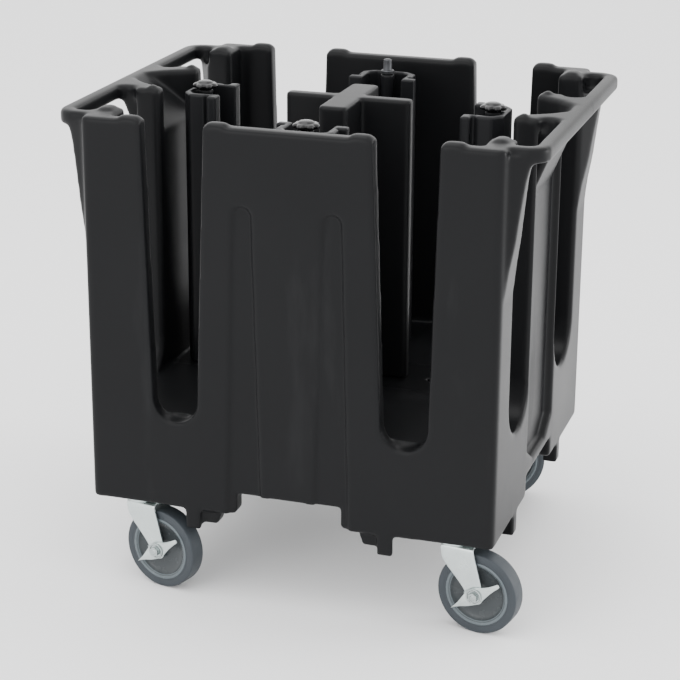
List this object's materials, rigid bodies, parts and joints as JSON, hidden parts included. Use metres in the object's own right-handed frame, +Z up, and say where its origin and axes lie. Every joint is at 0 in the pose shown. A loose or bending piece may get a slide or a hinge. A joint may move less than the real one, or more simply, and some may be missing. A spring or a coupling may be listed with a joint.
{
  "type": "plate dispenser cart",
  "caption": "Moulded cart with open slots for columns of plates, a centre cross, sliding towers that set the column size, side handles and swivel casters.",
  "frame": {"origin": "on the floor under the middle of the moulded body", "axes": "+X to the right along the width between the handles, +Y to the back, +Z up; the front faces -Y"},
  "size_m": [0.852, 0.6871, 0.8653],
  "materials": {
    "body_plastic": "charcoal moulded polyethylene with a fine satin grain",
    "tower_plastic": "charcoal moulded polyethylene, smoother than the body",
    "zinc_steel": "bright zinc plating",
    "knob_plastic": "glossy black",
    "hub_plastic": "dark grey with a lighter ring at the rim",
    "tyre_rubber": "blue-grey non-marking rubber"
  },
  "bodies": {
    "cart": {"cart_body": "body_plastic", "centre_cross": "body_plastic", "cross_bolts": "zinc_steel", "caster_plate_fl": "zinc_steel", "caster_plate_fr": "zinc_steel", "caster_plate_bl": "zinc_steel", "caster_plate_br": "zinc_steel", "caster_bolts": "zinc_steel"},
    "tower_left": {"tower_left": "tower_plastic", "rod_left": "zinc_steel", "clamp_foot_left": "zinc_steel"},
    "tower_right": {"tower_right": "tower_plastic", "rod_right": "zinc_steel", "clamp_foot_right": "zinc_steel"},
    "tower_front": {"tower_front": "tower_plastic", "rod_front": "zinc_steel", "clamp_foot_front": "zinc_steel"},
    "tower_back": {"tower_back": "tower_plastic", "rod_back": "zinc_steel", "clamp_foot_back": "zinc_steel", "pin_head_back": "zinc_steel"},
    "knob_left": {"knob_left": "knob_plastic"},
    "knob_right": {"knob_right": "knob_plastic"},
    "knob_front": {"knob_front": "knob_plastic"},
    "caster_fl": {"fork_fl": "zinc_steel", "axle_fl": "zinc_steel"},
    "wheel_fl": {"hub_fl": "hub_plastic", "tyre_fl": "tyre_rubber"},
    "brake_fl": {"brake_lever_fl": "zinc_steel"},
    "caster_fr": {"fork_fr": "zinc_steel", "axle_fr": "zinc_steel"},
    "wheel_fr": {"hub_fr": "hub_plastic", "tyre_fr": "tyre_rubber"},
    "brake_fr": {"brake_lever_fr": "zinc_steel"},
    "caster_bl": {"fork_bl": "zinc_steel", "axle_bl": "zinc_steel"},
    "wheel_bl": {"hub_bl": "hub_plastic", "tyre_bl": "tyre_rubber"},
    "caster_br": {"fork_br": "zinc_steel", "axle_br": "zinc_steel"},
    "wheel_br": {"hub_br": "hub_plastic", "tyre_br": "tyre_rubber"}
  },
  "joints": [
    {"name": "tower_left_slide", "type": "slide", "parent": "cart", "child": "tower_left", "axis": [-1, 0, 0], "range_m": [-0.11, 0.017]},
    {"name": "tower_right_slide", "type": "slide", "parent": "cart", "child": "tower_right", "axis": [1, 0, 0], "range_m": [-0.098, 0.029]},
    {"name": "tower_front_slide", "type": "slide", "parent": "cart", "child": "tower_front", "axis": [0, -1, 0], "range_m": [-0.088, 0.043]},
    {"name": "tower_back_slide", "type": "slide", "parent": "cart", "child": "tower_back", "axis": [0, 1, 0], "range_m": [-0.087, 0.044]},
    {"name": "knob_left_turn", "type": "hinge", "parent": "tower_left", "child": "knob_left", "pos_m": [-0.272, 0, 0.8373], "axis": [0, 0, 1], "range_deg": [0, 330]},
    {"name": "knob_right_turn", "type": "hinge", "parent": "tower_right", "child": "knob_right", "pos_m": [0.26, 0, 0.8373], "axis": [0, 0, 1], "range_deg": [0, 330]},
    {"name": "knob_front_turn", "type": "hinge", "parent": "tower_front", "child": "knob_front", "pos_m": [0, -0.235, 0.8373], "axis": [0, 0, 1], "range_deg": [0, 330]},
    {"name": "caster_fl_swivel", "type": "hinge", "parent": "cart", "child": "caster_fl", "pos_m": [-0.289, -0.297, 0.151], "axis": [0, 0, 1], "continuous": true},
    {"name": "wheel_fl_spin", "type": "hinge", "parent": "caster_fl", "child": "wheel_fl", "pos_m": [-0.2407, -0.30994, 0.073], "axis": [0.2588, 0.9659, 0], "continuous": true},
    {"name": "brake_fl_rock", "type": "hinge", "parent": "caster_fl", "child": "brake_fl", "pos_m": [-0.2407, -0.30994, 0.073], "axis": [0.2588, 0.9659, 0], "range_deg": [0, 44]},
    {"name": "caster_fr_swivel", "type": "hinge", "parent": "cart", "child": "caster_fr", "pos_m": [0.289, -0.297, 0.151], "axis": [0, 0, 1], "continuous": true},
    {"name": "wheel_fr_spin", "type": "hinge", "parent": "caster_fr", "child": "wheel_fr", "pos_m": [0.33824, -0.30568, 0.073], "axis": [0.1736, 0.9848, 0], "continuous": true},
    {"name": "brake_fr_rock", "type": "hinge", "parent": "caster_fr", "child": "brake_fr", "pos_m": [0.33824, -0.30568, 0.073], "axis": [0.1736, 0.9848, 0], "range_deg": [0, 44]},
    {"name": "caster_bl_swivel", "type": "hinge", "parent": "cart", "child": "caster_bl", "pos_m": [-0.289, 0.297, 0.151], "axis": [0, 0, 1], "continuous": true},
    {"name": "wheel_bl_spin", "type": "hinge", "parent": "caster_bl", "child": "wheel_bl", "pos_m": [-0.33682, 0.28238, 0.073], "axis": [0.2924, -0.9563, 0], "continuous": true},
    {"name": "caster_br_swivel", "type": "hinge", "parent": "cart", "child": "caster_br", "pos_m": [0.289, 0.297, 0.151], "axis": [0, 0, 1], "continuous": true},
    {"name": "wheel_br_spin", "type": "hinge", "parent": "caster_br", "child": "wheel_br", "pos_m": [0.2457, 0.272, 0.073], "axis": [0.5, -0.866, 0], "continuous": true}
  ]
}
